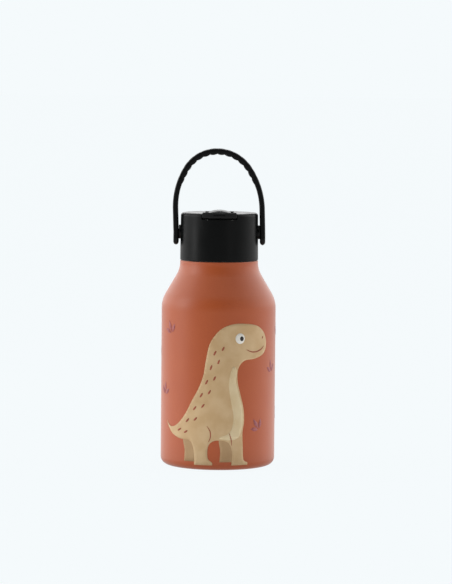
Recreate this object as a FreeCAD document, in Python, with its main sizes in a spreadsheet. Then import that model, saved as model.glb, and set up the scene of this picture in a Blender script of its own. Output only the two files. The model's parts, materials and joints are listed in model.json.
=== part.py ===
"""A child's vacuum-insulated water bottle with a screw lid, a flip-up spout and a carry loop.

Millimetres. +Z is up and the origin is the centre of the base, on the surface that the bottle
stands on. The drinking side faces -Y, and the loop's pivots lie on the X direction.
"""
import FreeCAD, Part
import Sketcher
import math
import os
import re

DIMENSIONS = (
    # The steel bottle.
    ("body_radius", 35.0, "outside of the body"),
    ("body_wall", 0.6, "outer steel wall"),
    ("base_round", 4.8, "rounding between side and foot"),
    ("foot_radius", 28.0, "inner edge of the foot ring"),
    ("foot_round", 0.5, "rounding of the foot ring's inner edge"),
    ("shoulder_low", 101.3, "height where side and cone would meet"),
    ("cone_angle", 30.2, "slope of the shoulder from the vertical, degrees"),
    ("shoulder_round", 18.0, "rounding between side and cone"),
    ("collar_round", 15.5, "rounding between cone and collar"),
    ("collar_radius", 23.85, "collar under the lid"),
    ("collar_top", 125.55, "top of the collar"),
    ("collar_step", 0.8, "rise of the ledge inside the collar"),
    ("neck_radius", 20.3, "outside of the threaded neck"),
    ("rim_height", 144.35, "end of the outer wall at the rim"),
    ("vacuum_gap", 2.4, "space between the two walls"),
    ("neck_gap", 0.9, "space between the two walls in the neck"),
    ("liner_wall", 0.5, "inner steel wall"),
    ("liner_low", 12.0, "weld between liner and its base"),
    ("liner_base", 5.5, "underside of the liner's base"),
    ("liner_round", 6.0, "corner of the liner's base"),
    ("rim_round", 0.2, "rounding of the rim"),
    ("plate_low", 2.2, "underside of the base plate"),
    ("plate_wall", 0.8, "base plate"),
    ("vent_hole", 0.8, "radius of the hole the air is drawn out through"),
    ("bead_radius", 2.2, "glass bead over that hole"),
    ("bead_drop", 0.45, "how far the bead hangs down"),
    ("disc_low", 0.9, "underside of the cover disc"),
    ("disc_wall", 0.8, "cover disc"),
    ("disc_radius", 27.7, "cover disc"),
    ("disc_seat", 25.0, "inside of the cover disc's rim"),
    ("getter_radius", 6.0, "getter pellet"),
    ("getter_height", 1.3, "getter pellet"),
    ("foil_gap", 0.05, "between liner and foil"),
    ("foil_wall", 0.15, "heat-reflecting foil"),
    ("foil_low", 14.0, "lower end of the foil"),
    ("foil_high", 98.0, "upper end of the foil"),
    # The screw thread.
    ("thread_pitch", 4.0, "rise in one turn"),
    ("thread_turns", 1.5, "length of each thread in turns"),
    ("thread_height", 1.0, "depth of a ridge"),
    ("thread_root", 1.5, "width of a ridge at its root"),
    ("thread_crest", 0.8, "width of a ridge at its crest"),
    ("thread_low", 133.35, "middle of the neck's ridge where it starts"),
    ("thread_sink", 0.2, "how far a ridge is sunk into its wall"),
    # The lid.
    ("lid_low", 126.0, "lower edge of the lid"),
    ("lid_high", 154.9, "top face of the lid"),
    ("lid_low_radius", 23.9, "outside at the lower edge"),
    ("lid_high_radius", 23.65, "outside at the top"),
    ("lid_bore", 22.8, "inside of the outer shell"),
    ("lid_top_wall", 1.5, "top wall"),
    ("lid_round", 1.8, "rounding of the top edge"),
    ("lid_edge_round", 0.3, "rounding of the lower edge"),
    ("insert_radius", 22.75, "outside of the threaded insert"),
    ("insert_bore", 21.75, "inside of the threaded insert"),
    ("insert_low", 127.55, "lower edge of the insert"),
    ("ceiling_low", 145.95, "underside of the insert's ceiling"),
    ("ceiling_wall", 1.4, "insert's ceiling"),
    ("plug_radius", 17.7, "plug that enters the neck"),
    ("plug_bore", 16.2, "inside of the plug"),
    ("plug_low", 140.55, "lower end of the plug"),
    ("groove_radius", 16.8, "bottom of the plug's groove"),
    ("groove_low", 141.95, "lower side of the groove"),
    ("groove_high", 143.55, "upper side of the groove"),
    ("ring_radius", 17.5, "middle of the plug's ring"),
    ("ring_thick", 0.65, "section radius of that ring"),
    ("gasket_low", 144.9, "underside of the rim gasket"),
    ("gasket_high", 145.9, "top of the rim gasket"),
    ("gasket_bore", 18.4, "inside of the rim gasket"),
    ("gasket_radius", 21.3, "outside of the rim gasket"),
    # The channel that the spout folds into.
    ("channel_half", 8.65, "half the channel's width"),
    ("channel_wall", 1.2, "its side walls"),
    ("channel_floor", 148.45, "its floor"),
    ("floor_wall", 1.0, "thickness of the floor"),
    ("channel_front", -21.5, "its front end"),
    ("channel_rear", 14.5, "its rear end"),
    ("notch_half", 11.0, "half the notch in the front wall"),
    ("notch_floor", 151.35, "floor of the notch"),
    ("notch_rear", -20.2, "where the notch ends"),
    ("past_wall", 27.0, "clear of the lid's wall"),
    # The spout.
    ("hinge_rear", 9.0, "hinge line, behind the middle"),
    ("hinge_height", 152.05, "hinge line"),
    ("barrel_radius", 3.2, "hinge barrel"),
    ("spout_half", 7.2, "half the spout's width"),
    ("spout_low", 148.85, "underside"),
    ("spout_side", 154.85, "top of the sides"),
    ("crown_radius", 17.0, "curve across the top"),
    ("spout_front", -17.5, "front end of the hard part"),
    ("spout_rear", 6.0, "rear end of the crowned part"),
    ("spout_round", 1.2, "rounding of the crown's ends"),
    ("passage_radius", 2.0, "water passage"),
    ("stub_radius", 1.2, "hinge stubs"),
    ("stub_gap", 0.06, "play round a stub"),
    ("stub_inner", 5.0, "inner end of a stub"),
    ("stub_outer", 9.75, "outer end of a stub"),
    ("tab_half", 10.4, "half the mouthpiece's lip"),
    ("tab_low", 152.45, "underside of the lip"),
    ("tab_high", 155.75, "top of the lip"),
    ("tab_rear", -20.6, "rear of the lip"),
    ("tab_radius", 24.9, "front of the lip, from the lid's middle"),
    ("tab_round", 0.6, "rounding of the lip's corners"),
    ("tab_edge_round", 0.45, "rounding of the lip's front edge"),
    ("mouth_low", 149.55, "underside of the soft neck"),
    ("mouth_high", 155.35, "top of the soft neck"),
    ("stem_radius", 1.95, "stem pushed into the passage"),
    ("stem_rear", -13.0, "inner end of the stem"),
    ("mouth_bore", 1.3, "bore of the mouthpiece"),
    ("mouth_front", -23.6, "front end of that bore"),
    ("slit_half_width", 3.6, "drinking slit"),
    ("slit_half_height", 0.2, "drinking slit"),
    # Seals, straw and vent.
    ("port_radius", 1.8, "hole under the spout's hinge"),
    ("seal_radius", 3.35, "seal round that hole"),
    ("seal_low", 147.85, "underside of the seal"),
    ("seal_high", 148.55, "top of the seal"),
    ("seal_play", 0.05, "play round the seal"),
    ("nipple_radius", 2.65, "nipple the straw is pushed onto"),
    ("nipple_low", 137.35, "lower end of the nipple"),
    ("straw_bore", 2.7, "inside of the straw"),
    ("straw_radius", 3.5, "outside of the straw"),
    ("straw_low", 9.5, "lower tip of the straw"),
    ("straw_high", 145.55, "upper end of the straw"),
    ("straw_slant", 4.0, "height of the slanted cut"),
    ("vent_rear", -9.0, "vent valve, before the middle"),
    ("vent_radius", 2.0, "hole for the valve"),
    ("vent_air", 1.0, "bore of the valve"),
    ("valve_radius", 1.95, "body of the valve"),
    ("valve_flange", 3.2, "flange of the valve"),
    ("valve_tip", 142.55, "closed end of the valve"),
    # The carry loop.
    ("pivot_height", 142.95, "pivots of the loop"),
    ("boss_radius", 4.35, "bosses on the lid"),
    ("boss_face", 24.15, "outer face of a boss"),
    ("washer_inner", 24.2, "inner face of a washer"),
    ("washer_outer", 24.8, "outer face of a washer"),
    ("washer_radius", 4.25, "washer"),
    ("washer_bore", 1.7, "washer"),
    ("loop_inner", 24.9, "inside of a leg"),
    ("loop_outer", 28.2, "outside of a leg"),
    ("loop_deep", 9.0, "width of the strap, front to back"),
    ("loop_low", 135.0, "lower end of the legs"),
    ("loop_spring", 157.3, "where the legs start to curve"),
    ("loop_high", 194.2, "top of the loop"),
    ("loop_top_radius", 24.6, "outside curve at the top"),
    ("loop_round", 1.2, "rounding along the strap"),
    ("loop_end_round", 4.4, "rounding of the legs' ends"),
    ("pin_radius", 1.6, "pivot pin"),
    ("pin_play", 0.06, "play round a pin"),
    ("pin_inner", 22.9, "inner end of a pin"),
    ("head_inner", 26.9, "underside of a pin's head"),
    ("head_outer", 28.0, "top of a pin's head"),
    ("head_radius", 2.9, "pin's head"),
    ("sink_radius", 3.0, "recess for the head"),
    ("sink_floor", 26.85, "floor of that recess"),
    ("head_round", 0.5, "rounding of a pin's head"),
)

FULL_TURN = 360
TOUCH = 1e-6
ORIGIN_POINT = (-1, 1)
HORIZONTAL_AXIS = -1
VERTICAL_AXIS = -2
PLANES = {"X": "YZ_Plane", "Y": "XZ_Plane", "Z": "XY_Plane"}

os.makedirs("parts", exist_ok=True)
DOC = FreeCAD.newDocument("kids_water_bottle")
SHEET = DOC.addObject("Spreadsheet::Sheet", "Dims")
for row, (alias, number, meaning) in enumerate(DIMENSIONS, start=1):
    SHEET.set(f"A{row}", alias)
    SHEET.set(f"B{row}", str(number))
    SHEET.set(f"C{row}", meaning)
    SHEET.setAlias(f"B{row}", alias)
DOC.recompute()


# ---------------------------------------------------------------- helpers

def in_sheet(text):
    """The expression with each dimension's name pointed at the sheet."""
    return re.sub(r"[a-z]+(?:_[a-z]+)+", r"Dims.\g<0>", text)


def value(text):
    """The number that an expression gives now."""
    return float(SHEET.evalExpression(in_sheet(text)))


def bind(feature, target, text):
    feature.setExpression(target, in_sheet(text))


def new_body(label):
    body = DOC.addObject("PartDesign::Body", label)
    body.Label = label
    return body


def new_sketch(body, along="Y", offset="0"):
    """A sketch square to the given axis, moved along its own normal by the offset."""
    sketch = body.newObject("Sketcher::SketchObject", body.Label + "_sketch")
    plane = next(f for f in body.Origin.OriginFeatures if f.Role == PLANES[along])
    sketch.AttachmentSupport = [(plane, "")]
    sketch.MapMode = "FlatFace"
    bind(sketch, "AttachmentOffset.Base.z", offset)
    return sketch


def fix_point(sketch, item, end, place):
    """Hold one end of a sketched line, or a circle's centre, at a pair of expressions."""
    for kind, text, axis in zip(("DistanceX", "DistanceY"), place, (VERTICAL_AXIS, HORIZONTAL_AXIS)):
        number = value(text)
        if abs(number) < TOUCH:
            sketch.addConstraint(Sketcher.Constraint("PointOnObject", item, end, axis))
        else:
            held = sketch.addConstraint(Sketcher.Constraint(kind, *ORIGIN_POINT, item, end, number))
            bind(sketch, f"Constraints[{held}]", text)


def flat(place):
    return FreeCAD.Vector(value(place[0]), value(place[1]), 0)


def outline(*corners):
    """A closed outline through corners, each a pair of expressions."""
    def draw(sketch):
        count = len(corners)
        for i in range(count):
            ends = flat(corners[i]), flat(corners[(i + 1) % count])
            sketch.addGeometry(Part.LineSegment(*ends), False)
        for i in range(count):
            sketch.addConstraint(Sketcher.Constraint("Coincident", i, 2, (i + 1) % count, 1))
            fix_point(sketch, i, 1, corners[i])
    return draw


def circle(centre, radius):
    def draw(sketch):
        up = FreeCAD.Vector(0, 0, 1)
        sketch.addGeometry(Part.Circle(flat(centre), up, value(radius)), False)
        fix_point(sketch, 0, 3, centre)
        held = sketch.addConstraint(Sketcher.Constraint("Radius", 0, value(radius)))
        bind(sketch, f"Constraints[{held}]", radius)
    return draw


def rectangle(low, high):
    """A rectangle between two opposite corners, each a pair of expressions."""
    return outline(low, (high[0], low[1]), high, (low[0], high[1]))


def finish(body, feature, adds):
    """Recompute, and make sure that the feature really added or took away material."""
    before = body.Tip.BaseFeature.Shape.Volume if body.Tip.BaseFeature else 0.0
    DOC.recompute()
    after = feature.Shape.Volume
    if not feature.isValid() or (after > before) != adds:
        raise RuntimeError(f"{feature.Name} failed: {before:.2f} to {after:.2f}")


def revolve(body, draw, kind="Revolution"):
    """Turn a section about the body's own Z axis, to add or, with Groove, to cut."""
    sketch = new_sketch(body)
    draw(sketch)
    DOC.recompute()
    feature = body.newObject("PartDesign::" + kind, body.Label + "_turned")
    feature.Profile = sketch
    feature.ReferenceAxis = (sketch, ["V_Axis"])
    feature.Angle = FULL_TURN
    finish(body, feature, kind == "Revolution")


def extrude(body, kind, along, low, high, draw):
    """Pad or Pocket a sketch along an axis, between two planes square to it."""
    forward = along != "Y"
    start = low if forward == (kind == "Pad") else high
    sketch = new_sketch(body, along, f"({start})" if forward else f"-({start})")
    draw(sketch)
    DOC.recompute()
    feature = body.newObject("PartDesign::" + kind, f"{body.Label}_{kind.lower()}")
    feature.Profile = sketch
    bind(feature, "Length", f"({high}) - ({low})")
    finish(body, feature, kind == "Pad")


def fillet(body, radius, chosen):
    """Round the edges of the body that the test picks."""
    base = body.Tip
    names = [f"Edge{i}" for i, edge in enumerate(base.Shape.Edges, start=1) if chosen(edge)]
    if not names:
        raise RuntimeError(f"{body.Label}: no edge to round by {radius}")
    feature = body.newObject("PartDesign::Fillet", body.Label + "_round")
    feature.Base = (base, names)
    bind(feature, "Radius", radius)
    DOC.recompute()
    if not feature.isValid() or feature.Shape.isNull():
        raise RuntimeError(f"{feature.Name} failed")


def is_ring(edge, radius, height):
    """Whether an edge is a circle of this radius round the Z axis at this height."""
    if not isinstance(edge.Curve, Part.Circle):
        return False
    centre = edge.Curve.Center
    off_axis = math.hypot(centre.x, centre.y)
    return max(off_axis, abs(centre.z - height), abs(edge.Curve.Radius - radius)) < 1e-4


def turned(label, *corners):
    """A turned piece. A corner is (radius, height) or (radius, height, rounding)."""
    body = new_body(label)
    revolve(body, outline(*(corner[:2] for corner in corners)))
    for rounding in dict.fromkeys(corner[2] for corner in corners if len(corner) == 3):
        rings = [(value(c[0]), value(c[1])) for c in corners if len(c) == 3 and c[2] == rounding]
        fillet(body, rounding, lambda edge: any(is_ring(edge, *ring) for ring in rings))
    return body


def helix_ridge(body, wall, outward, low):
    """A screw ridge on a wall, with a trapezoid section that points out or in."""
    sign = "" if outward else "-"
    root = f"{wall} - {sign}thread_sink"
    crest = f"{wall} + {sign}thread_height"
    sketch = new_sketch(body)
    outline(
        (root, f"{low} - thread_root / 2"),
        (crest, f"{low} - thread_crest / 2"),
        (crest, f"{low} + thread_crest / 2"),
        (root, f"{low} + thread_root / 2"),
    )(sketch)
    DOC.recompute()
    ridge = body.newObject("PartDesign::AdditiveHelix", body.Label + "_thread")
    ridge.Profile = sketch
    ridge.ReferenceAxis = (sketch, ["V_Axis"])
    ridge.Mode = "pitch-turns-angle"
    bind(ridge, "Pitch", "thread_pitch")
    bind(ridge, "Turns", "thread_turns")
    finish(body, ridge, True)


# ---------------------------------------------------------------- the bottle

def outer_shell():
    """Outer steel wall: foot ring, side, cone, collar, ledge and threaded neck."""
    slope = "tan(cone_angle)"
    shift = "body_wall * tan(cone_angle / 2)"
    cone_top = f"shoulder_low + (body_radius - collar_radius) / {slope}"
    body = turned(
        "outer_shell",
        ("foot_radius", "plate_low + plate_wall"),
        ("foot_radius", "0", "foot_round"),
        ("body_radius", "0", "base_round"),
        ("body_radius", "shoulder_low", "shoulder_round"),
        ("collar_radius", cone_top, "collar_round"),
        ("collar_radius", "collar_top", "foot_round"),
        ("neck_radius", "collar_top + collar_step"),
        ("neck_radius", "rim_height"),
        ("neck_radius - body_wall", "rim_height"),
        ("neck_radius - body_wall", "collar_top + collar_step - body_wall"),
        ("collar_radius - body_wall", "collar_top - body_wall"),
        ("collar_radius - body_wall", f"{cone_top} - {shift}", "collar_round + body_wall"),
        ("body_radius - body_wall", f"shoulder_low - {shift}", "shoulder_round - body_wall"),
        ("body_radius - body_wall", "body_wall", "base_round - body_wall"),
        ("foot_radius + body_wall", "body_wall"),
        ("foot_radius + body_wall", "plate_low + plate_wall"),
    )
    helix_ridge(body, "neck_radius", True, "thread_low")


def inner_liner():
    """Inner steel wall, flared over the outer wall at the rim."""
    behind = "(body_wall + vacuum_gap)"
    outside = f"body_radius - {behind}"
    inside = f"{outside} - liner_wall"
    neck = "neck_radius - body_wall - neck_gap"
    slope = "tan(cone_angle)"
    low_shift = f"{behind} * tan(cone_angle / 2)"
    wall_shift = "liner_wall * tan(cone_angle / 2)"
    low = f"shoulder_low - {low_shift}"
    high = f"{low} + ({outside} - ({neck})) / {slope}"
    turned(
        "inner_liner",
        (outside, "liner_low"),
        (outside, low),
        (neck, high),
        (neck, "rim_height"),
        ("neck_radius", "rim_height"),
        ("neck_radius", "rim_height + liner_wall", "rim_round"),
        (f"{neck} - liner_wall", "rim_height + liner_wall", "rim_round"),
        (f"{neck} - liner_wall", f"{high} - {wall_shift}"),
        (inside, f"{low} - {wall_shift}"),
        (inside, "liner_low"),
    )


def inner_base():
    """Cup welded into the lower end of the liner."""
    outside = "body_radius - body_wall - vacuum_gap"
    turned(
        "inner_base",
        ("0", "liner_base"),
        (outside, "liner_base", "liner_round"),
        (outside, "liner_low"),
        (f"{outside} - liner_wall", "liner_low"),
        (f"{outside} - liner_wall", "liner_base + liner_wall", "liner_round - liner_wall"),
        ("0", "liner_base + liner_wall"),
    )


def base_pieces():
    """Base plate with its pump-out hole and glass bead, the getter above and the cover below."""
    turned(
        "outer_base",
        ("vent_hole", "plate_low"),
        ("foot_radius", "plate_low"),
        ("foot_radius", "plate_low + plate_wall"),
        ("vent_hole", "plate_low + plate_wall"),
    )
    turned(
        "vacuum_seal_bead",
        ("0", "plate_low - bead_drop"),
        ("bead_radius", "plate_low - bead_drop", "bead_drop / 2"),
        ("bead_radius", "plate_low"),
        ("vent_hole", "plate_low"),
        ("vent_hole", "plate_low + plate_wall - rim_round"),
        ("0", "plate_low + plate_wall - rim_round"),
    )
    turned(
        "base_cover_disc",
        ("0", "disc_low"),
        ("disc_radius", "disc_low", "rim_round"),
        ("disc_radius", "plate_low"),
        ("disc_seat", "plate_low"),
        ("disc_seat", "disc_low + disc_wall"),
        ("0", "disc_low + disc_wall"),
    )
    turned(
        "getter_pellet",
        ("0", "liner_base - getter_height"),
        ("getter_radius", "liner_base - getter_height", "rim_round"),
        ("getter_radius", "liner_base"),
        ("0", "liner_base"),
    )


def reflective_foil():
    """Foil wrapped round the liner inside the vacuum."""
    inside = "body_radius - body_wall - vacuum_gap + foil_gap"
    turned(
        "reflective_foil",
        (inside, "foil_low"),
        (f"{inside} + foil_wall", "foil_low"),
        (f"{inside} + foil_wall", "foil_high"),
        (inside, "foil_high"),
    )


# ---------------------------------------------------------------- the lid

def lid_shell():
    """Outer lid shell with the spout's channel, the front notch and the loop's bosses."""
    body = new_body("lid_shell")
    revolve(body, outline(
        ("lid_low_radius", "lid_low"),
        ("lid_high_radius", "lid_high"),
        ("0", "lid_high"),
        ("0", "lid_high - lid_top_wall"),
        ("lid_bore", "lid_high - lid_top_wall"),
        ("lid_bore", "lid_low"),
    ))
    tray_half = "(channel_half + channel_wall)"
    extrude(body, "Pad", "Z", "channel_floor - floor_wall", "lid_high - lid_top_wall / 2", rectangle(
        (f"-{tray_half}", "-past_wall"),
        (tray_half, "channel_rear + channel_wall"),
    ))
    revolve(body, outline(
        ("lid_low_radius", "lid_low"),
        ("past_wall * 2", "lid_low"),
        ("past_wall * 2", "lid_high"),
        ("lid_high_radius", "lid_high"),
    ), "Groove")
    top = value("lid_high_radius"), value("lid_high")
    fillet(body, "lid_round", lambda edge: is_ring(edge, *top))
    extrude(body, "Pocket", "Z", "channel_floor", "lid_high", rectangle(
        ("-channel_half", "channel_front"),
        ("channel_half", "channel_rear"),
    ))
    extrude(body, "Pocket", "Z", "notch_floor", "lid_high", rectangle(
        ("-notch_half", "-past_wall"),
        ("notch_half", "notch_rear"),
    ))
    extrude(body, "Pocket", "Z", "seal_low", "channel_floor",
            circle(("0", "hinge_rear"), "seal_radius + seal_play"))
    extrude(body, "Pocket", "Z", "channel_floor - floor_wall", "seal_low",
            circle(("0", "hinge_rear"), "port_radius"))
    extrude(body, "Pocket", "Z", "channel_floor - floor_wall", "channel_floor",
            circle(("0", "vent_rear"), "vent_air"))
    extrude(body, "Pocket", "X", f"-{tray_half}", tray_half,
            circle(("hinge_rear", "hinge_height"), "stub_radius"))
    for low, high in (("-boss_face", "-lid_bore"), ("lid_bore", "boss_face")):
        extrude(body, "Pad", "X", low, high, circle(("0", "pivot_height"), "boss_radius"))
    for low, high in (("-boss_face", "-lid_bore + 1"), ("lid_bore - 1", "boss_face")):
        extrude(body, "Pocket", "X", low, high, circle(("0", "pivot_height"), "pin_radius"))
    bottom = value("lid_low_radius"), value("lid_low")
    fillet(body, "lid_edge_round", lambda edge: is_ring(edge, *bottom))


def lid_insert():
    """Threaded cup inside the lid, with the plug, the straw's nipple and the valve's hole."""
    body = turned(
        "lid_insert",
        ("insert_bore", "insert_low"),
        ("insert_radius", "insert_low"),
        ("insert_radius", "ceiling_low + ceiling_wall"),
        ("0", "ceiling_low + ceiling_wall"),
        ("0", "ceiling_low"),
        ("plug_bore", "ceiling_low"),
        ("plug_bore", "plug_low"),
        ("plug_radius", "plug_low"),
        ("plug_radius", "groove_low"),
        ("groove_radius", "groove_low"),
        ("groove_radius", "groove_high"),
        ("plug_radius", "groove_high"),
        ("plug_radius", "ceiling_low"),
        ("insert_bore", "ceiling_low"),
    )
    extrude(body, "Pad", "Z", "nipple_low", "ceiling_low + ceiling_wall / 2",
            circle(("0", "hinge_rear"), "nipple_radius"))
    extrude(body, "Pocket", "Z", "nipple_low", "ceiling_low + ceiling_wall",
            circle(("0", "hinge_rear"), "port_radius"))
    extrude(body, "Pocket", "Z", "ceiling_low", "ceiling_low + ceiling_wall",
            circle(("0", "vent_rear"), "vent_radius"))
    helix_ridge(body, "insert_bore", False, "(thread_low - thread_pitch / 2)")


def seals():
    """The rim gasket, the plug's ring and the seal under the spout's hinge."""
    turned(
        "rim_gasket",
        ("gasket_bore", "gasket_low"),
        ("gasket_radius", "gasket_low"),
        ("gasket_radius", "gasket_high"),
        ("gasket_bore", "gasket_high"),
    )
    ring = new_body("plug_ring")
    revolve(ring, circle(("ring_radius", "(groove_low + groove_high) / 2"), "ring_thick"))
    seal = turned(
        "spout_seal",
        ("port_radius", "seal_low"),
        ("seal_radius", "seal_low"),
        ("seal_radius", "seal_high"),
        ("port_radius", "seal_high"),
    )
    bind(seal, "Placement.Base.y", "hinge_rear")


def straw():
    """Straw pushed onto the nipple, cut at a slant at its lower end."""
    body = turned(
        "straw",
        ("straw_bore", "straw_low"),
        ("straw_radius", "straw_low"),
        ("straw_radius", "straw_high"),
        ("straw_bore", "straw_high"),
    )
    extrude(body, "Pocket", "X", "-straw_radius * 2", "straw_radius * 2", outline(
        ("-straw_radius * 1.5", "straw_low - straw_slant"),
        ("straw_radius", "straw_low - straw_slant"),
        ("straw_radius", "straw_low"),
        ("-straw_radius", "straw_low + straw_slant"),
        ("-straw_radius * 1.5", "straw_low + straw_slant"),
    ))
    bind(body, "Placement.Base.y", "hinge_rear")


def vent_valve():
    """Soft duckbill valve that lets air in as the water is drawn."""
    top = "ceiling_low + ceiling_wall - seal_play * 2"
    valve = turned(
        "vent_valve",
        ("vent_air", top),
        ("valve_radius", top),
        ("valve_radius", "ceiling_low - seal_play"),
        ("valve_flange", "ceiling_low - seal_play"),
        ("valve_flange", "ceiling_low - seal_play - vent_air * 0.65"),
        ("vent_radius", "ceiling_low - seal_play - vent_air * 0.65"),
        ("vent_air", "valve_tip"),
        ("0", "valve_tip"),
        ("0", "valve_tip + vent_air / 2"),
        ("vent_air * 0.6", "valve_tip + vent_air / 2"),
    )
    bind(valve, "Placement.Base.y", "vent_rear")


# ---------------------------------------------------------------- the spout

def crowned_section(sketch):
    """Cross-section of the spout: flat sides and base under a shallow arc."""
    left_low = ("-spout_half", "spout_low")
    right_low = ("spout_half", "spout_low")
    right_high = ("spout_half", "spout_side")
    left_high = ("-spout_half", "spout_side")
    radius = value("crown_radius")
    sag = math.sqrt(radius ** 2 - value("spout_half") ** 2)
    middle = FreeCAD.Vector(0, value("spout_side") + radius - sag, 0)
    lines = (left_high, left_low), (left_low, right_low), (right_low, right_high)
    for start, end in lines:
        sketch.addGeometry(Part.LineSegment(flat(start), flat(end)), False)
    sketch.addGeometry(Part.Arc(flat(right_high), middle, flat(left_high)), False)
    for item, end, other, other_end in ((0, 2, 1, 1), (1, 2, 2, 1), (2, 2, 3, 1), (3, 2, 0, 1)):
        sketch.addConstraint(Sketcher.Constraint("Coincident", item, end, other, other_end))
    for item, place in enumerate((left_high, left_low, right_low)):
        fix_point(sketch, item, 1, place)
    fix_point(sketch, 2, 2, right_high)
    held = sketch.addConstraint(Sketcher.Constraint("Radius", 3, radius))
    bind(sketch, f"Constraints[{held}]", "crown_radius")


def spout():
    """Hard spout arm with its hinge barrel and the water passage."""
    body = new_body("spout")
    extrude(body, "Pad", "Y", "spout_front", "spout_rear", crowned_section)
    side = value("spout_side")
    fillet(body, "spout_round", lambda edge: edge.BoundBox.ZMin > side - TOUCH)
    extrude(body, "Pad", "X", "-spout_half", "spout_half",
            circle(("hinge_rear", "hinge_height"), "barrel_radius"))
    extrude(body, "Pad", "X", "-spout_half", "spout_half", rectangle(
        ("spout_rear - 1", "spout_low"),
        ("hinge_rear", "hinge_height + barrel_radius"),
    ))
    extrude(body, "Pocket", "Y", "spout_front", "hinge_rear + barrel_radius",
            circle(("0", "hinge_height"), "passage_radius"))
    for low, high in (("-spout_half", "-stub_inner + stub_gap"), ("stub_inner - stub_gap", "spout_half")):
        extrude(body, "Pocket", "X", low, high,
                circle(("hinge_rear", "hinge_height"), "stub_radius + stub_gap"))


def mouthpiece():
    """Soft drinking end with a wide lip, a slit and a stem in the spout's passage."""
    body = new_body("mouthpiece")
    extrude(body, "Pad", "Z", "tab_low", "tab_high", rectangle(
        ("-tab_half", "-past_wall"),
        ("tab_half", "tab_rear"),
    ))
    revolve(body, outline(
        ("tab_radius", "tab_low - 1"),
        ("past_wall * 2", "tab_low - 1"),
        ("past_wall * 2", "tab_high + 1"),
        ("tab_radius", "tab_high + 1"),
    ), "Groove")
    half = value("tab_half")
    fillet(body, "tab_round", lambda edge: (
        min(abs(edge.BoundBox.XMin - half), abs(edge.BoundBox.XMax + half)) < 1e-4
        and edge.BoundBox.ZLength < TOUCH))
    reach = value("tab_radius")
    fillet(body, "tab_edge_round", lambda edge: all(
        abs(math.hypot(v.X, v.Y) - reach) < 1e-4 for v in edge.Vertexes))
    extrude(body, "Pad", "Z", "mouth_low", "mouth_high", rectangle(
        ("-spout_half", "tab_rear - tab_edge_round"),
        ("spout_half", "spout_front"),
    ))
    extrude(body, "Pad", "Y", "spout_front", "stem_rear",
            circle(("0", "hinge_height"), "stem_radius"))
    extrude(body, "Pocket", "Y", "mouth_front", "stem_rear",
            circle(("0", "hinge_height"), "mouth_bore"))
    extrude(body, "Pocket", "Y", "-past_wall", "mouth_front", rectangle(
        ("-slit_half_width", "(tab_low + tab_high) / 2 - slit_half_height"),
        ("slit_half_width", "(tab_low + tab_high) / 2 + slit_half_height"),
    ))


def spout_stubs():
    """Two stub pins that the spout turns on, one in each channel wall."""
    for side, low, high in (("left", "-stub_outer", "-stub_inner"), ("right", "stub_inner", "stub_outer")):
        body = new_body("spout_stub_" + side)
        extrude(body, "Pad", "X", low, high, circle(("hinge_rear", "hinge_height"), "stub_radius"))


# ---------------------------------------------------------------- the carry loop

def loop_path(sketch):
    """Middle line of the loop: leg, side arc, top arc, side arc and leg, all tangent."""
    half = (value("loop_inner") + value("loop_outer")) / 2
    thick = value("loop_outer") - value("loop_inner")
    low, spring = value("loop_low"), value("loop_spring")
    rise = value("loop_high") - thick / 2 - spring
    top = value("loop_top_radius") - thick / 2
    side = (half ** 2 + (rise - top) ** 2 - top ** 2) / (2 * (half - top))
    centre = FreeCAD.Vector(half - side, spring, 0)
    crown = FreeCAD.Vector(0, spring + rise - top, 0)
    turn = math.atan2(crown.y - centre.y, crown.x - centre.x)
    up = FreeCAD.Vector(0, 0, 1)
    mirrored = FreeCAD.Vector(-centre.x, centre.y, 0)
    sketch.addGeometry([
        Part.LineSegment(FreeCAD.Vector(half, low, 0), FreeCAD.Vector(half, spring, 0)),
        Part.ArcOfCircle(Part.Circle(centre, up, side), 0, turn),
        Part.ArcOfCircle(Part.Circle(crown, up, top), turn, math.pi - turn),
        Part.ArcOfCircle(Part.Circle(mirrored, up, side), math.pi - turn, math.pi),
        Part.LineSegment(FreeCAD.Vector(-half, spring, 0), FreeCAD.Vector(-half, low, 0)),
    ], False)
    middle = "(loop_inner + loop_outer) / 2"
    fix_point(sketch, 0, 1, (middle, "loop_low"))
    fix_point(sketch, 0, 2, (middle, "loop_spring"))
    fix_point(sketch, 4, 1, (f"-{middle}", "loop_spring"))
    fix_point(sketch, 4, 2, (f"-{middle}", "loop_low"))
    top_centre = "loop_high - loop_top_radius"
    fix_point(sketch, 2, 3, ("0", top_centre))
    held = sketch.addConstraint(Sketcher.Constraint("Radius", 2, top))
    bind(sketch, f"Constraints[{held}]", "loop_top_radius - (loop_outer - loop_inner) / 2")
    for item in range(4):
        sketch.addConstraint(Sketcher.Constraint("Tangent", item, 2, item + 1, 1))


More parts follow.
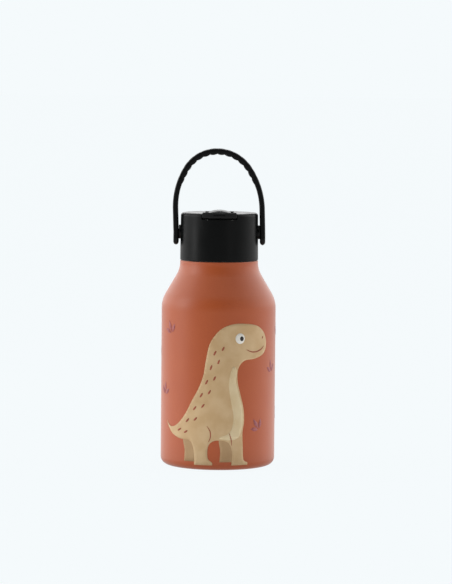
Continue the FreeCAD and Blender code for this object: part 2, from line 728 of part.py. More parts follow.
def carry_loop():
    """Flat strap bent into a tall arch, with a pin hole and a head recess in each leg."""
    body = new_body("carry_loop")
    path = new_sketch(body)
    loop_path(path)
    section = new_sketch(body, "Z", "loop_low")
    rectangle(("loop_inner", "-loop_deep / 2"), ("loop_outer", "loop_deep / 2"))(section)
    DOC.recompute()
    strap = body.newObject("PartDesign::AdditivePipe", "carry_loop_strap")
    strap.Profile = section
    strap.Spine = (path, [f"Edge{i}" for i in range(1, 6)])
    finish(body, strap, True)
    low, deep = value("loop_low"), value("loop_deep") / 2
    fillet(body, "loop_end_round", lambda edge: (
        edge.BoundBox.ZMax < low + TOUCH and edge.BoundBox.YLength < TOUCH))
    fillet(body, "loop_round", lambda edge: (
        edge.BoundBox.YLength < TOUCH and abs(abs(edge.BoundBox.YMin) - deep) < 1e-4
        and edge.BoundBox.ZLength > TOUCH))
    extrude(body, "Pocket", "X", "-past_wall * 2", "past_wall * 2",
            circle(("0", "pivot_height"), "pin_radius + pin_play"))
    for low, high in (("-loop_outer", "-sink_floor"), ("sink_floor", "loop_outer")):
        extrude(body, "Pocket", "X", low, high, circle(("0", "pivot_height"), "sink_radius"))


def loop_pins():
    """Headed pins fixed in the bosses, and the washers that hold the loop by friction."""
    for side, sign in (("left", "-"), ("right", "")):
        pin = new_body("loop_pin_" + side)
        spans = (("pin_inner", "head_inner", "pin_radius"), ("head_inner", "head_outer", "head_radius"))
        for inner, outer, radius in spans:
            ends = (f"-{outer}", f"-{inner}") if sign else (inner, outer)
            extrude(pin, "Pad", "X", *ends, circle(("0", "pivot_height"), radius))
        reach = value("head_outer")
        fillet(pin, "head_round", lambda edge: (
            edge.BoundBox.XLength < TOUCH and abs(abs(edge.BoundBox.XMin) - reach) < 1e-4))
        washer = new_body("loop_washer_" + side)
        ends = ("-washer_outer", "-washer_inner") if sign else ("washer_inner", "washer_outer")
        extrude(washer, "Pad", "X", *ends, circle(("0", "pivot_height"), "washer_radius"))
        extrude(washer, "Pocket", "X", *ends, circle(("0", "pivot_height"), "washer_bore"))


# ---------------------------------------------------------------- build, check and write

for make in (outer_shell, inner_liner, inner_base, base_pieces, reflective_foil, lid_shell,
             lid_insert, seals, straw, vent_valve, spout, mouthpiece, spout_stubs, carry_loop,
             loop_pins):
    make()
DOC.recompute()

for item in DOC.Objects:
    if "Invalid" in item.State or "Error" in item.State:
        raise RuntimeError(f"{item.Label}: {item.State}")

bodies = [item for item in DOC.Objects if item.TypeId == "PartDesign::Body"]
for body in bodies:
    if body.Shape.isNull() or not body.Shape.isValid() or len(body.Shape.Solids) != 1:
        raise RuntimeError(f"{body.Label} is not one valid solid")

for body in bodies:
    body.Shape.exportStep(f"parts/{body.Label}.step")
    print(f"{body.Label}: {body.Shape.Volume:.1f} mm3")
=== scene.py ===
"""Looks of a child's insulated water bottle: powder-coated steel body with a printed dinosaur,
black lid with a folded spout, and a tall moulded carry loop."""
import json
import math
import bmesh
import bpy
from mathutils import Matrix, Quaternion, Vector
from mathutils.geometry import delaunay_2d_cdt


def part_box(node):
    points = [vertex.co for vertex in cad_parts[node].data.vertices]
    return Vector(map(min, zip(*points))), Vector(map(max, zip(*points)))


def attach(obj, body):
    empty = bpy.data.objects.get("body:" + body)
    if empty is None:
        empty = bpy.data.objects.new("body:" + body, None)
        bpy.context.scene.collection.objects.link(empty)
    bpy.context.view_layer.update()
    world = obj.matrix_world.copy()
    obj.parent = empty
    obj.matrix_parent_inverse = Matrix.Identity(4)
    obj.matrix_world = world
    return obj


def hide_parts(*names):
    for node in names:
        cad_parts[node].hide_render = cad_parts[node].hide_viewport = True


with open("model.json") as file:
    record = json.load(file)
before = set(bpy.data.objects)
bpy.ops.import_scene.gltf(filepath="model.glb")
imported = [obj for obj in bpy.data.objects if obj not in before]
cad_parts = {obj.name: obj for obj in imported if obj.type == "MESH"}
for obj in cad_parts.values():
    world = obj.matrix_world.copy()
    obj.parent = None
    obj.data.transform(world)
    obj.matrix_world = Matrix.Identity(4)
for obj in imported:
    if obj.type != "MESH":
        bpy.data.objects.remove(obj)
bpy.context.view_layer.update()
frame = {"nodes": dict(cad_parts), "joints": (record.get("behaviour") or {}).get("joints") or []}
NODES = frame["nodes"]
MM = 0.001

_, SHELL_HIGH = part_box("outer_shell")
LID_LOW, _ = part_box("lid_shell")
LOOP_LOW, LOOP_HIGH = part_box("carry_loop")
PIVOT = next(Vector(j["pos_m"]) for j in frame["joints"] if j["name"] == "loop_swing")
BODY_RADIUS = SHELL_HIGH.x
COAT_END = LID_LOW.z - 0.3 * MM     # the coat stops on the ledge just under the lid


# ---------------------------------------------------------------- materials

def srgb(red, green, blue):
    """A display colour from 0 to 255 as linear light."""
    def linear(part):
        part /= 255
        return part / 12.92 if part <= 0.04045 else ((part + 0.055) / 1.055) ** 2.4
    return linear(red), linear(green), linear(blue), 1.0


class Shader:
    """A node material with one Principled shader and short calls for its procedural inputs."""

    def __init__(self, name, **constants):
        self.material = bpy.data.materials.new(name)
        self.material.use_nodes = True
        self.tree = self.material.node_tree
        self.surface = self.tree.nodes["Principled BSDF"]
        self.place = self.tree.nodes.new("ShaderNodeTexCoord").outputs["Object"]
        for socket, number in constants.items():
            self.surface.inputs[socket.replace("_", " ")].default_value = number

    def node(self, kind, links=(), **settings):
        made = self.tree.nodes.new("ShaderNode" + kind)
        for key, setting in settings.items():
            setattr(made, key, setting)
        for socket, source in dict(links).items():
            if hasattr(source, "is_output"):
                self.tree.links.new(source, made.inputs[socket])
            else:
                made.inputs[socket].default_value = source
        return made

    def noise(self, size, detail=2.0, stretch=None):
        """Noise with features of about this size in metres, as a value round 0.5."""
        source = self.place
        if stretch:
            source = self.node("Mapping", {"Vector": self.place, "Scale": stretch}).outputs[0]
        links = {"Vector": source, "Scale": 1 / size, "Detail": detail}
        return self.node("TexNoise", links).outputs[0]

    def remap(self, source, low, high, start=0.3, end=0.7):
        """A value that runs from low to high while the source runs from start to end."""
        links = {"Value": source, "From Min": start, "From Max": end, "To Min": low, "To Max": high}
        return self.node("MapRange", links).outputs[0]

    def mix(self, share, first, second):
        """A colour between two others."""
        blend = self.node("Mix", data_type="RGBA")
        for socket, source in ((0, share), (6, first), (7, second)):
            if hasattr(source, "is_output"):
                self.tree.links.new(source, blend.inputs[socket])
            else:
                blend.inputs[socket].default_value = source
        return blend.outputs[2]

    def height(self):
        """Height above the floor in metres."""
        return self.node("SeparateXYZ", {"Vector": self.place}).outputs["Z"]

    def feed(self, socket, source):
        self.tree.links.new(source, self.surface.inputs[socket])

    def bump(self, *layers):
        """Stacked bumps: each layer is a height source and its depth in metres."""
        before = None
        for source, depth in layers:
            bump = self.node("Bump", {"Height": source, "Strength": 1.0, "Distance": depth})
            if before:
                self.tree.links.new(before, bump.inputs["Normal"])
            before = bump.outputs["Normal"]
        self.feed("Normal", before)

    def dress(self, *names):
        """Give the material to CAD nodes, or to pieces, in all their slots."""
        for name in names:
            mesh = NODES[name].data if isinstance(name, str) else name.data
            mesh.materials.clear()
            mesh.materials.append(self.material)


PEEL = 1.3 * MM             # size of the coat's orange peel
SPECKLE = 0.35 * MM         # size of its grain
PEEL_DEPTH = 0.02 * MM


def powder_coat():
    """Orange powder coat with a fine orange-peel, bare brushed steel above the ledge."""
    coat = Shader("powder_coat", Roughness=0.45, Specular_IOR_Level=0.6,
                  Sheen_Weight=0.42, Sheen_Roughness=0.42)
    speckle = coat.noise(SPECKLE, 3.0)
    patches = coat.noise(14 * MM, 2.0)
    base = coat.mix(coat.remap(speckle, 0.0, 1.0), srgb(180, 80, 28), srgb(190, 90, 36))
    toned = coat.mix(coat.remap(patches, 0.0, 0.35), base, srgb(178, 76, 26))
    bare = coat.remap(coat.height(), 0.0, 1.0, COAT_END, COAT_END + 0.1 * MM)
    brushed = coat.noise(0.4 * MM, 3.0, (0.15, 0.15, 3.0))
    steel = coat.mix(coat.remap(brushed, 0.0, 1.0), srgb(176, 176, 174), srgb(205, 205, 202))
    coat.feed("Base Color", coat.mix(bare, toned, steel))
    coat.feed("Metallic", bare)
    grain = coat.remap(speckle, 0.42, 0.5)
    coat.feed("Roughness", coat.node("Mix", {0: bare, 2: grain, 3: 0.3}).outputs[0])
    coat.bump((coat.noise(PEEL, 2.0), PEEL_DEPTH), (speckle, 0.012 * MM))
    coat.dress("outer_shell")
    return coat


def ink(name, light, dark, rough=0.5):
    """Matte print on the coat: it shows the coat's peel, and its tone drifts a little."""
    paint = Shader(name, Roughness=rough, Specular_IOR_Level=0.45)
    drift = paint.remap(paint.noise(9 * MM, 3.0), 0.0, 1.0, 0.35, 0.65)
    speckle = paint.noise(SPECKLE, 3.0)
    tone = paint.mix(drift, srgb(*light), srgb(*dark))
    paint.feed("Base Color", paint.mix(paint.remap(speckle, 0.0, 0.25), tone, srgb(*dark)))
    paint.feed("Roughness", paint.remap(speckle, rough - 0.04, rough + 0.06))
    paint.bump((paint.noise(PEEL, 2.0), PEEL_DEPTH), (speckle, 0.01 * MM))
    return paint


ETCHED = 0.25 * MM          # size of the etched texture


def plastic(name, tone, rough, *nodes):
    """Moulded plastic with a fine etched texture."""
    moulded = Shader(name, Roughness=rough, Specular_IOR_Level=0.16)
    etched = moulded.noise(ETCHED, 3.0)
    lighter = tuple(part + 5 for part in tone)
    moulded.feed("Base Color", moulded.mix(moulded.remap(etched, 0, 1), srgb(*tone), srgb(*lighter)))
    handled = moulded.noise(11 * MM, 2.0)
    moulded.feed("Roughness", moulded.remap(handled, rough - 0.05, rough + 0.06))
    moulded.bump((etched, 0.01 * MM))
    moulded.dress(*nodes)
    return moulded


def steel(name, tone, rough, stretch, *nodes):
    """Brushed stainless steel whose fine lines run the way the stretch says."""
    metal = Shader(name, Metallic=1.0, Roughness=rough)
    lines = metal.noise(0.5 * MM, 4.0, stretch)
    darker = tuple(part - 22 for part in tone)
    metal.feed("Base Color", metal.mix(metal.remap(lines, 0, 1), srgb(*darker), srgb(*tone)))
    metal.feed("Roughness", metal.remap(lines, rough - 0.06, rough + 0.08))
    metal.bump((lines, 0.008 * MM))
    metal.dress(*nodes)
    return metal


def silicone(name, tone, *nodes):
    """Soft matte silicone with a faint dusting."""
    soft = Shader(name, Roughness=0.6, Specular_IOR_Level=0.25, Sheen_Weight=0.05)
    dust = soft.noise(3 * MM, 4.0)
    lighter = tuple(part + 9 for part in tone)
    soft.feed("Base Color", soft.mix(soft.remap(dust, 0, 1), srgb(*tone), srgb(*lighter)))
    soft.feed("Roughness", soft.remap(dust, 0.55, 0.7))
    soft.bump((soft.noise(0.4 * MM, 3.0), 0.012 * MM))
    soft.dress(*nodes)
    return soft


def clear_plastic(*nodes):
    """Milky straw plastic with faint lines along its length."""
    milky = Shader("straw_plastic", Roughness=0.28, Transmission_Weight=0.55, IOR=1.49)
    drawn = milky.noise(1.2 * MM, 3.0, (1.0, 1.0, 0.05))
    milky.feed("Base Color", milky.mix(drawn, srgb(214, 220, 220), srgb(236, 240, 240)))
    milky.bump((drawn, 0.01 * MM))
    milky.dress(*nodes)


def glass_bead(*nodes):
    """Grey solder glass with a swirl in it."""
    bead = Shader("solder_glass", Roughness=0.12, Transmission_Weight=0.3, IOR=1.6)
    swirl = bead.noise(0.8 * MM, 4.0)
    bead.feed("Base Color", bead.mix(swirl, srgb(88, 96, 98), srgb(130, 138, 140)))
    bead.bump((swirl, 0.02 * MM))
    bead.dress(*nodes)


AROUND = (0.1, 0.1, 3.0)
ALONG_X = (0.1, 3.0, 3.0)
BLACK = (5, 7, 7)
LOOP_BLACK = (10, 11, 11)

powder_coat()
steel("liner_steel", (198, 198, 196), 0.34, AROUND, "inner_liner", "inner_base", "outer_base")
steel("getter_metal", (120, 120, 122), 0.7, (1.0, 1.0, 1.0), "getter_pellet")
steel("foil", (226, 190, 168), 0.2, (1.0, 1.0, 0.3), "reflective_foil")
steel("pin_steel", (190, 190, 188), 0.28, ALONG_X, "spout_stub_left", "spout_stub_right")
plastic("base_cover", (34, 34, 35), 0.6, "base_cover_disc")
plastic("lid_plastic", BLACK, 0.33, "lid_shell")
plastic("spout_plastic", BLACK, 0.38, "spout")
plastic("insert_plastic", (36, 36, 37), 0.45, "lid_insert")
plastic("pin_plastic", (20, 20, 21), 0.35, "loop_pin_left", "loop_pin_right")
plastic("washer_nylon", (22, 22, 23), 0.6, "loop_washer_left", "loop_washer_right")
silicone("seal_silicone", (196, 198, 196), "rim_gasket", "plug_ring", "spout_seal", "vent_valve")
silicone("mouth_silicone", (7, 8, 8), "mouthpiece")
clear_plastic("straw")
glass_bead("vacuum_seal_bead")


# ---------------------------------------------------------------- mesh helpers

def mesh_piece(name, points, faces, body, material):
    """A smooth-shaded piece that rides on a body."""
    mesh = bpy.data.meshes.new(name)
    mesh.from_pydata([tuple(p) for p in points], [], faces)
    mesh.validate()
    for face in mesh.polygons:
        face.use_smooth = True
    piece = bpy.data.objects.new(name, mesh)
    bpy.context.scene.collection.objects.link(piece)
    material.dress(piece)
    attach(piece, body)
    return piece


def applied(piece, kind, **settings):
    """Add a modifier and replace the mesh by its result."""
    modifier = piece.modifiers.new(kind, kind)
    for key, setting in settings.items():
        setattr(modifier, key, setting)
    graph = bpy.context.evaluated_depsgraph_get()
    mesh = bpy.data.meshes.new_from_object(piece.evaluated_get(graph))
    piece.modifiers.clear()
    piece.data = mesh


def smoothed(corners, steps=6):
    """A closed curve through (u, z) corners. A third value of True keeps a corner sharp."""
    count = len(corners)
    sharp = [len(corner) > 2 for corner in corners]
    points = [Vector(corner[:2]) for corner in corners]
    curve = []
    for i in range(count):
        j = (i + 1) % count
        before = points[i] if sharp[i] else points[i - 1]
        after = points[j] if sharp[j] else points[(j + 1) % count]
        start_slope = (points[j] - before) / 2
        end_slope = (after - points[i]) / 2
        for step in range(steps):
            t = step / steps
            curve.append(
                points[i] * (2 * t ** 3 - 3 * t ** 2 + 1) + start_slope * (t ** 3 - 2 * t ** 2 + t)
                + points[j] * (3 * t ** 2 - 2 * t ** 3) + end_slope * (t ** 3 - t ** 2))
    return curve


def oval(centre, length, width, turn, points=20):
    """A closed oval, turned anticlockwise by an angle in degrees."""
    angle = math.radians(turn)
    spots = []
    for k in range(points):
        a = math.tau * k / points
        along, across = length / 2 * math.cos(a), width / 2 * math.sin(a)
        spots.append(Vector((
            centre[0] + along * math.cos(angle) - across * math.sin(angle),
            centre[1] + along * math.sin(angle) + across * math.cos(angle))))
    return spots


# ---------------------------------------------------------------- the printed decoration

PRINT_STEP = 1.2            # widest facet round the body, mm
INK_LAYER = 0.05            # each layer of ink stands this much further out, mm
INK_THICKNESS = 0.025


def print_on_body(name, outlines, layer, material):
    """Closed outlines in (u, z) millimetres, laid on the cylinder. u runs round it from the front."""
    radius = BODY_RADIUS / MM + INK_LAYER * layer
    points, faces = [], []
    for outline in outlines:
        lows = [min(p[k] for p in outline) for k in (0, 1)]
        highs = [max(p[k] for p in outline) for k in (0, 1)]
        fill = []
        columns = int((highs[0] - lows[0]) / PRINT_STEP)
        rows = int((highs[1] - lows[1]) / (2 * PRINT_STEP))
        for column in range(1, columns + 1):
            for row in range(1, rows + 1):
                fill.append(Vector((
                    lows[0] + PRINT_STEP * column, lows[1] + 2 * PRINT_STEP * row)))
        ring = list(range(len(outline)))
        flat, _, triangles, *_ = delaunay_2d_cdt(list(outline) + fill, [], [ring], 1, 1e-5)
        first = len(points)
        for u, z in flat:
            angle = u / radius
            points.append(Vector((radius * math.sin(angle), -radius * math.cos(angle), z)) * MM)
        faces += [[first + corner for corner in triangle] for triangle in triangles]
    piece = mesh_piece(name, points, faces, "bottle", material)
    applied(piece, "SOLIDIFY", thickness=INK_THICKNESS * MM, offset=1.0)
    return piece


TAN = ink("ink_tan", (216, 186, 142), (204, 170, 124))
TAN_SHADE = ink("ink_shade", (192, 158, 116), (180, 144, 102))
TAN_LIGHT = ink("ink_light", (228, 208, 168), (220, 196, 152))
BROWN = ink("ink_brown", (168, 88, 58), (156, 76, 50))
PURPLE = ink("ink_purple", (164, 96, 100), (172, 92, 88))
DARK = ink("ink_dark", (44, 38, 36), (36, 31, 30))
WHITE = ink("ink_white", (246, 244, 236), (238, 234, 224))

# Control points in millimetres: distance round the body from the front, and height.
DINOSAUR = (
    (-38, 29, True), (-33, 25.5), (-27, 27.5), (-21, 34), (-16.5, 42), (-12, 50), (-9, 58),
    (-7.5, 67), (-5, 77.5), (1, 85.5), (9, 89), (19, 89), (27, 87), (32.5, 82), (34, 75.5),
    (31, 70.3), (24, 67.8), (16.5, 66.8), (12.5, 62.2), (12, 54.5), (14, 46), (16, 38),
    (16.5, 30), (15.5, 23), (15.8, 15), (16.3, 6.8), (18.9, 5), (19, 3.4, True),
    (8.5, 3.4, True), (8.8, 12), (6, 17.5), (-1, 18.5), (-5.5, 15.5), (-6, 8), (-3.3, 5),
    (-3.2, 3.4, True), (-14.5, 3.4, True), (-14.8, 12), (-17.5, 18), (-25, 18.8), (-32.5, 22),
)
FAR_LEGS = (
    ((1.2, 20), (1.6, 12), (1.2, 5.4, True), (9.2, 5.4, True), (9.4, 20)),
    ((-22, 20), (-21.2, 12), (-21.5, 5.4, True), (-14, 5.4, True), (-13, 20)),
)
BELLY = (
    (8.6, 62.6), (6.6, 52.6), (8, 42), (9.6, 32), (7.4, 23.5), (1, 20.2), (5, 18.8), (12, 19.6),
    (14.6, 24), (15.6, 30), (15.1, 38), (13.1, 46), (11.1, 54), (11.5, 61.4),
)
BACK_LINE = (
    (-29, 24.8), (-23.2, 29.2), (-18.2, 36.4), (-13.8, 44.2), (-10.4, 52), (-7.6, 60),
    (-5.6, 69.5), (-2.4, 78.2),
)
EYE, PUPIL, NOSTRIL = (13.5, 80.3), (14.6, 80.2), (30.4, 80.4)
SMILE = (18, 73.4), (21.5, 72), (25.5, 72), (29.5, 73.4), (31.4, 75)
LEG_FOLDS = (
    ((-5.6, 17.6), (-4.4, 20.4), (-4.6, 24), (-6.4, 27)),
    ((8.6, 15.6), (8.2, 19.4), (7.0, 23)),
)
SPRIGS = ((-33, 82, 20), (-41, 44, -8), (28, 24, 35), (41, 58, 10), (52, 80, -25), (58, 28, 15),
          (72, 52, 40), (85, 86, 5), (90, 20, -30), (-56, 66, 35), (-62, 22, -20), (-78, 48, 12),
          (-84, 84, -15), (101, 64, 25), (-97, 30, 8))


SPOT_ROWS = (2.6, 3.3), (6.4, 3.0)      # distance in from the back and length of a spot
SPOT_WIDTH = 1.15
SPOT_SLANT = 8                          # degrees from the way the back runs
SPRIG_LEAVES = (-46, 6.0), (0, 7.6), (46, 6.0)      # angle from the middle leaf and length
LEAF_START, LEAF_HALF_WIDTH = 0.9, 1.25
STROKE_END = 0.35                       # width of a line's ends, as a share


def two_rows_of_spots():
    """Small slanted ovals beside the back, in two staggered rows."""
    spots = []
    for row, (inset, size) in enumerate(SPOT_ROWS):
        for start, end in zip(BACK_LINE, BACK_LINE[1:]):
            a, b = Vector(start), Vector(end)
            way = (b - a).normalized()
            across = Vector((way.y, -way.x))
            middle = a.lerp(b, 0.35 + 0.45 * row) + across * inset
            turn = math.degrees(math.atan2(way.y, way.x)) - SPOT_SLANT
            spots.append(oval(middle, size, SPOT_WIDTH, turn, 14))
    return spots


def sprig(u, z, turn):
    """Three pointed leaves that meet at a stalk."""
    leaves = []
    for spread, length in SPRIG_LEAVES:
        angle = math.radians(90 + turn + spread)
        way = Vector((math.cos(angle), math.sin(angle)))
        side = Vector((-way.y, way.x))
        root = Vector((u, z)) + way * LEAF_START
        tip = root + way * length
        half = root.lerp(tip, 0.5)
        side *= LEAF_HALF_WIDTH
        leaves.append(smoothed(((*root, True), half + side, (*tip, True), half - side)))
    return leaves


def stroke(points, width):
    """A thin line through (u, z) points, narrower at its ends."""
    path = [Vector(p) for p in points]
    sides = []
    for sign in (1, -1):
        order = path if sign == 1 else path[::-1]
        for i, here in enumerate(order):
            ahead = order[min(i + 1, len(order) - 1)]
            behind = order[max(i - 1, 0)]
            way = (ahead - behind).normalized()
            taper = STROKE_END if i in (0, len(order) - 1) else 1.0
            sides.append(here + Vector((-way.y, way.x)) * width / 2 * taper)
    return smoothed([tuple(p) for p in sides], 3)


print_on_body("print_far_legs", [smoothed(leg) for leg in FAR_LEGS], 1, TAN_SHADE)
print_on_body("print_dinosaur", [smoothed(DINOSAUR)], 2, TAN)
print_on_body("print_belly", [smoothed(BELLY)], 3, TAN_LIGHT)
print_on_body("print_spots", two_rows_of_spots(), 3, BROWN)
print_on_body("print_eye_white", [oval(EYE, 6.0, 6.4, 0, 28)], 3, WHITE)
print_on_body("print_eye", [oval(PUPIL, 2.4, 2.9, 0, 22)], 4, DARK)
LINES = [stroke(SMILE, 0.7), oval(NOSTRIL, 1.6, 0.9, 70, 14), *(stroke(fold, 0.6) for fold in LEG_FOLDS)]
print_on_body("print_lines", LINES, 4, BROWN)
print_on_body("print_sprigs", [leaf for spot in SPRIGS for leaf in sprig(*spot)], 1, PURPLE)


# ---------------------------------------------------------------- the carry loop

LOOP_THICK = 3.35 * MM
LOOP_SPRING = 157.3 * MM        # where the legs start to curve
LOOP_TOP_RADIUS = 24.6 * MM     # outside curve at the top
LOOP_LEAN = 0.031               # the soft strap leans a little to one side
RING_STEP = 0.35 * MM
SECTION_POINTS = 44
SECTION_SQUARE = 4.6            # exponent of the strap's rounded section
LEG_END_ROUND = 4.4 * MM
LEG_TIP_ROUND = 2.2 * MM
GRIP_PITCH = 4.8 * MM
GRIP_DEPTH = 0.65 * MM
GRIP_OUTER_DEPTH = 0.12 * MM
GRIP_START = 12 * MM            # above the spring line, along the strap
GRIP_FADE = 9 * MM
GRIP_SLANT = 0.06
GRIP_SIDE_DEPTH = 0.16 * MM
GRIP_SHARPNESS = 0.7            # below 1 the valleys are narrower than the lobes
PIN_HOLE = 1.66 * MM
HEAD_RECESS = 3.0 * MM
RECESS_DEPTH = 1.4 * MM


def loop_line():
    """Points along the strap's middle: position, outward direction and distance along it."""
    half = LOOP_HIGH.x - LOOP_THICK / 2
    top = LOOP_TOP_RADIUS - LOOP_THICK / 2
    rise = LOOP_HIGH.z - LOOP_THICK / 2 - LOOP_SPRING
    side = (half ** 2 + (rise - top) ** 2 - top ** 2) / (2 * (half - top))
    crown = LOOP_SPRING + rise - top
    turn = math.atan2(crown - LOOP_SPRING, side - half)
    leg = LOOP_SPRING - LOOP_LOW.z
    quarter = leg + side * turn + top * (math.pi / 2 - turn)
    count = int(round(quarter / RING_STEP))
    right = []
    for k in range(count + 1):
        s = quarter * k / count
        if s <= leg:
            x, z, out = half, LOOP_LOW.z + s, 0.0
        elif s <= leg + side * turn:
            out = (s - leg) / side
            x, z = half - side + side * math.cos(out), LOOP_SPRING + side * math.sin(out)
        else:
            out = turn + (s - leg - side * turn) / top
            x, z = top * math.cos(out), crown + top * math.sin(out)
        right.append((x, z, math.cos(out), math.sin(out), s))
    left = [(-x, z, -nx, nz, 2 * quarter - s) for x, z, nx, nz, s in right[-2::-1]]
    return right + left, leg, 2 * quarter


def eased(t):
    """A smooth step from 0 to 1."""
    t = max(0.0, min(1.0, t))
    return t * t * (3 - 2 * t)


END_FACE = 0.015                # squared share of the full size left at the very end


def rounded_end(from_end, radius):
    """Share of the full size this far from a round end."""
    return math.sqrt(max(END_FACE, 1 - max(0.0, 1 - from_end / radius) ** 2))


def carry_loop():
    """The strap: rounded section, plain legs with round ends, and a lobed grip over the arch."""
    line, leg, whole = loop_line()
    deep = LOOP_HIGH.y
    points, faces = [], []
    for x, z, nx, nz, s in line:
        from_end = min(s, whole - s)
        depth = deep * rounded_end(from_end, LEG_END_ROUND)
        half = LOOP_THICK / 2 * rounded_end(from_end, LEG_TIP_ROUND)
        lean = LOOP_LEAN * max(0.0, z - PIVOT.z)
        grip = eased((from_end - leg - GRIP_START) / GRIP_FADE)
        for k in range(SECTION_POINTS):
            a = math.tau * k / SECTION_POINTS
            c, d = math.cos(a), math.sin(a)
            out = math.copysign(abs(c) ** (2 / SECTION_SQUARE), c) * half
            y = math.copysign(abs(d) ** (2 / SECTION_SQUARE), d) * depth
            phase = math.pi * (s - whole / 2 + GRIP_SLANT * y) / GRIP_PITCH
            valley = 1 - abs(math.sin(phase)) ** GRIP_SHARPNESS
            inward = max(0.0, -c) ** 0.5
            outward = max(0.0, c) ** 0.5
            out -= grip * inward * GRIP_DEPTH * (1 - valley)
            out -= grip * outward * GRIP_OUTER_DEPTH * valley
            y -= grip * math.copysign(GRIP_SIDE_DEPTH * valley * abs(d) ** 2, y)
            points.append((x + nx * out - lean, y, z + nz * out))
    rings = len(line)
    for r in range(rings - 1):
        for k in range(SECTION_POINTS):
            n = (k + 1) % SECTION_POINTS
            low, high = r * SECTION_POINTS, (r + 1) * SECTION_POINTS
            faces.append((low + k, low + n, high + n, high + k))
    faces.append(tuple(range(SECTION_POINTS))[::-1])
    last = (rings - 1) * SECTION_POINTS
    faces.append(tuple(last + k for k in range(SECTION_POINTS)))
    material = plastic("loop_plastic", LOOP_BLACK, 0.44)
    piece = mesh_piece("carry_loop_moulded", points, faces, "loop", material)
    bores = [(0.0, PIN_HOLE, 4 * LOOP_HIGH.x)]
    for sign in (-1, 1):
        bores.append((sign * LOOP_HIGH.x, HEAD_RECESS, 2 * RECESS_DEPTH))
    for centre, radius, length in bores:
        tool = bar("bore", (centre, PIVOT.y, PIVOT.z), radius, length)
        applied(piece, "BOOLEAN", object=tool, operation="DIFFERENCE", solver="EXACT")
        bpy.data.objects.remove(tool)
    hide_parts("carry_loop")
    return piece


def bar(name, centre, radius, length, sides=48):
    """A round bar along X, used to cut holes."""
    mesh = bpy.data.meshes.new(name)
    build = bmesh.new()
    turn = Matrix.Rotation(math.pi / 2, 4, "Y")
    bmesh.ops.create_cone(build, cap_ends=True, segments=sides, radius1=radius, radius2=radius,
                          depth=length, matrix=Matrix.Translation(centre) @ turn)
    build.to_mesh(mesh)
    build.free()
    piece = bpy.data.objects.new(name, mesh)
    bpy.context.scene.collection.objects.link(piece)
    return piece


carry_loop()


# ---------------------------------------------------------------- floor, light and camera

PALE = srgb(245, 250, 252)
FLOOR_SIZE = 60.0
FLOOR_GREY = 0.02           # how much of the floor's look takes light and shadow
FLOOR_LIT = 0.02            # what that adds to the floor away from the bottle
FLOOR_GLOW = 1.08, 0.5      # painted bounce light: the glow the floor gives off for light rays, near and far from the bottle
FLOOR_NEAR, FLOOR_FAR = 0.08, 0.9
FLOOR_SHADE = 0.5           # painted shadow: share of that glow left where the bottle stands
SHADE_FROM, SHADE_TO = 0.034, 0.062
ROOM_DARK = 0.03            # in front, behind the camera
ROOM_LIGHT = 2.45            # everywhere else
DARK_FROM, DARK_TO = -0.5, 0.95
ROOM_TOP = 0.35             # overhead, as a share of the light at the horizon


def camera_choice(tree, for_light, for_camera, output):
    """Show one shader to light rays and another to the camera."""
    choose = tree.nodes.new("ShaderNodeMixShader")
    seen = tree.nodes.new("ShaderNodeLightPath")
    tree.links.new(seen.outputs["Is Camera Ray"], choose.inputs[0])
    tree.links.new(for_light, choose.inputs[1])
    tree.links.new(for_camera, choose.inputs[2])
    tree.links.new(choose.outputs[0], output.inputs["Surface"])


def eased_range(tree, source, reach, values):
    """A smooth change between two values while the source runs over its reach."""
    ramp = tree.nodes.new("ShaderNodeMapRange")
    ramp.interpolation_type = "SMOOTHSTEP"
    numbers = zip(("From Min", "From Max", "To Min", "To Max"), reach + values)
    for socket, number in numbers:
        ramp.inputs[socket].default_value = number
    tree.links.new(source, ramp.inputs["Value"])
    return ramp.outputs[0]


def pale_floor():
    """A wide floor that looks evenly pale and keeps a faint real shadow. For light rays it glows: a
    painted bounce light, with painted shade near the bottle.
    """
    build = bmesh.new()
    bmesh.ops.create_grid(build, x_segments=1, y_segments=1, size=FLOOR_SIZE)
    mesh = bpy.data.meshes.new("floor")
    build.to_mesh(mesh)
    build.free()
    floor = bpy.data.objects.new("floor", mesh)
    bpy.context.scene.collection.objects.link(floor)
    material = bpy.data.materials.new("floor")
    material.use_nodes = True
    tree = material.node_tree
    tree.nodes.clear()
    output = tree.nodes.new("ShaderNodeOutputMaterial")
    look = tree.nodes.new("ShaderNodeAddShader")
    matte = tree.nodes.new("ShaderNodeBsdfDiffuse")
    matte.inputs["Color"].default_value = (FLOOR_GREY, FLOOR_GREY, FLOOR_GREY, 1)
    even = tree.nodes.new("ShaderNodeEmission")
    even.inputs["Color"].default_value = tuple(part - FLOOR_LIT for part in PALE[:3]) + (1,)
    bounce = tree.nodes.new("ShaderNodeEmission")
    place = tree.nodes.new("ShaderNodeTexCoord")
    away = tree.nodes.new("ShaderNodeVectorMath")
    away.operation = "LENGTH"
    tree.links.new(place.outputs["Object"], away.inputs[0])
    glow = eased_range(tree, away.outputs["Value"], (FLOOR_NEAR, FLOOR_FAR), FLOOR_GLOW)
    shade = eased_range(tree, away.outputs["Value"], (SHADE_FROM, SHADE_TO), (FLOOR_SHADE, 1.0))
    shaded = tree.nodes.new("ShaderNodeMath")
    shaded.operation = "MULTIPLY"
    tree.links.new(glow, shaded.inputs[0])
    tree.links.new(shade, shaded.inputs[1])
    tree.links.new(shaded.outputs[0], bounce.inputs["Strength"])
    tree.links.new(matte.outputs[0], look.inputs[0])
    tree.links.new(even.outputs[0], look.inputs[1])
    camera_choice(tree, bounce.outputs[0], look.outputs[0], output)
    mesh.materials.append(material)


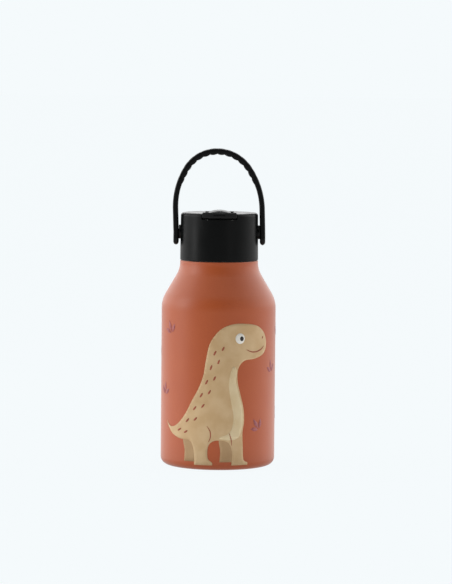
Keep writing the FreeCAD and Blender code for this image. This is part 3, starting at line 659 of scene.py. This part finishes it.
def room():
    """Soft light from all round, but dark in front; evenly pale where the camera sees it."""
    world = bpy.data.worlds.new("room")
    bpy.context.scene.world = world
    world.use_nodes = True
    tree = world.node_tree
    tree.nodes.clear()
    output = tree.nodes.new("ShaderNodeOutputWorld")
    way = tree.nodes.new("ShaderNodeTexCoord")
    parts = tree.nodes.new("ShaderNodeSeparateXYZ")
    tree.links.new(way.outputs["Generated"], parts.inputs[0])
    level = eased_range(tree, parts.outputs["Y"], (-DARK_TO, -DARK_FROM), (ROOM_DARK, ROOM_LIGHT))
    steep = tree.nodes.new("ShaderNodeMath")
    steep.operation = "MULTIPLY"
    tree.links.new(parts.outputs["Z"], steep.inputs[0])
    tree.links.new(parts.outputs["Z"], steep.inputs[1])
    fade = tree.nodes.new("ShaderNodeMapRange")
    fade.inputs["To Min"].default_value = 1.0
    fade.inputs["To Max"].default_value = ROOM_TOP
    tree.links.new(steep.outputs[0], fade.inputs["Value"])
    both = tree.nodes.new("ShaderNodeMath")
    both.operation = "MULTIPLY"
    tree.links.new(level, both.inputs[0])
    tree.links.new(fade.outputs[0], both.inputs[1])
    light = tree.nodes.new("ShaderNodeBackground")
    tree.links.new(both.outputs[0], light.inputs["Strength"])
    backdrop = tree.nodes.new("ShaderNodeBackground")
    backdrop.inputs["Color"].default_value = PALE
    camera_choice(tree, light.outputs[0], backdrop.outputs[0], output)


MIDDLE = Vector((0, 0, 0.1))


def soft_box(name, place, size, power):
    """A rectangular lamp that faces the bottle's middle."""
    light = bpy.data.lights.new(name, "AREA")
    light.shape = "RECTANGLE"
    light.size, light.size_y = size
    light.energy = power
    lamp = bpy.data.objects.new(name, light)
    bpy.context.scene.collection.objects.link(lamp)
    lamp.location = place
    lamp.rotation_mode = "QUATERNION"
    lamp.rotation_quaternion = (MIDDLE - Vector(place)).to_track_quat("-Z", "Y")


pale_floor()
room()
soft_box("left_box", (-1.3, -0.28, 0.52), (0.44, 0.95), 5.4)
soft_box("right_box", (1.3, 0.15, 0.52), (0.6, 0.95), 0.2)
soft_box("top_box", (0, -0.3, 1.5), (1.0, 1.0), 2.2)
soft_box("front_fill", (0.9, -1.4, 0.52), (0.3, 0.8), 0.8)

CAMERA_BACK = 1.719
CAMERA_HEIGHT = 0.2325
AIM = Vector((0.0044, 0, 0.10605))
LENS = 173.0
ROLL = 0.51


def camera():
    """A long lens a little above the lid, rolled by a trace."""
    data = bpy.data.cameras.new("camera")
    data.lens = LENS
    data.sensor_width = 36.0
    data.clip_start, data.clip_end = 0.05, 200.0
    view = bpy.data.objects.new("camera", data)
    bpy.context.scene.collection.objects.link(view)
    view.location = (0, -CAMERA_BACK, CAMERA_HEIGHT)
    view.rotation_mode = "QUATERNION"
    look = (AIM - view.location).to_track_quat("-Z", "Y")
    view.rotation_quaternion = look @ Quaternion((0, 0, 1), math.radians(ROLL))
    bpy.context.scene.camera = view


camera()
bpy.context.scene.view_settings.view_transform = "Standard"
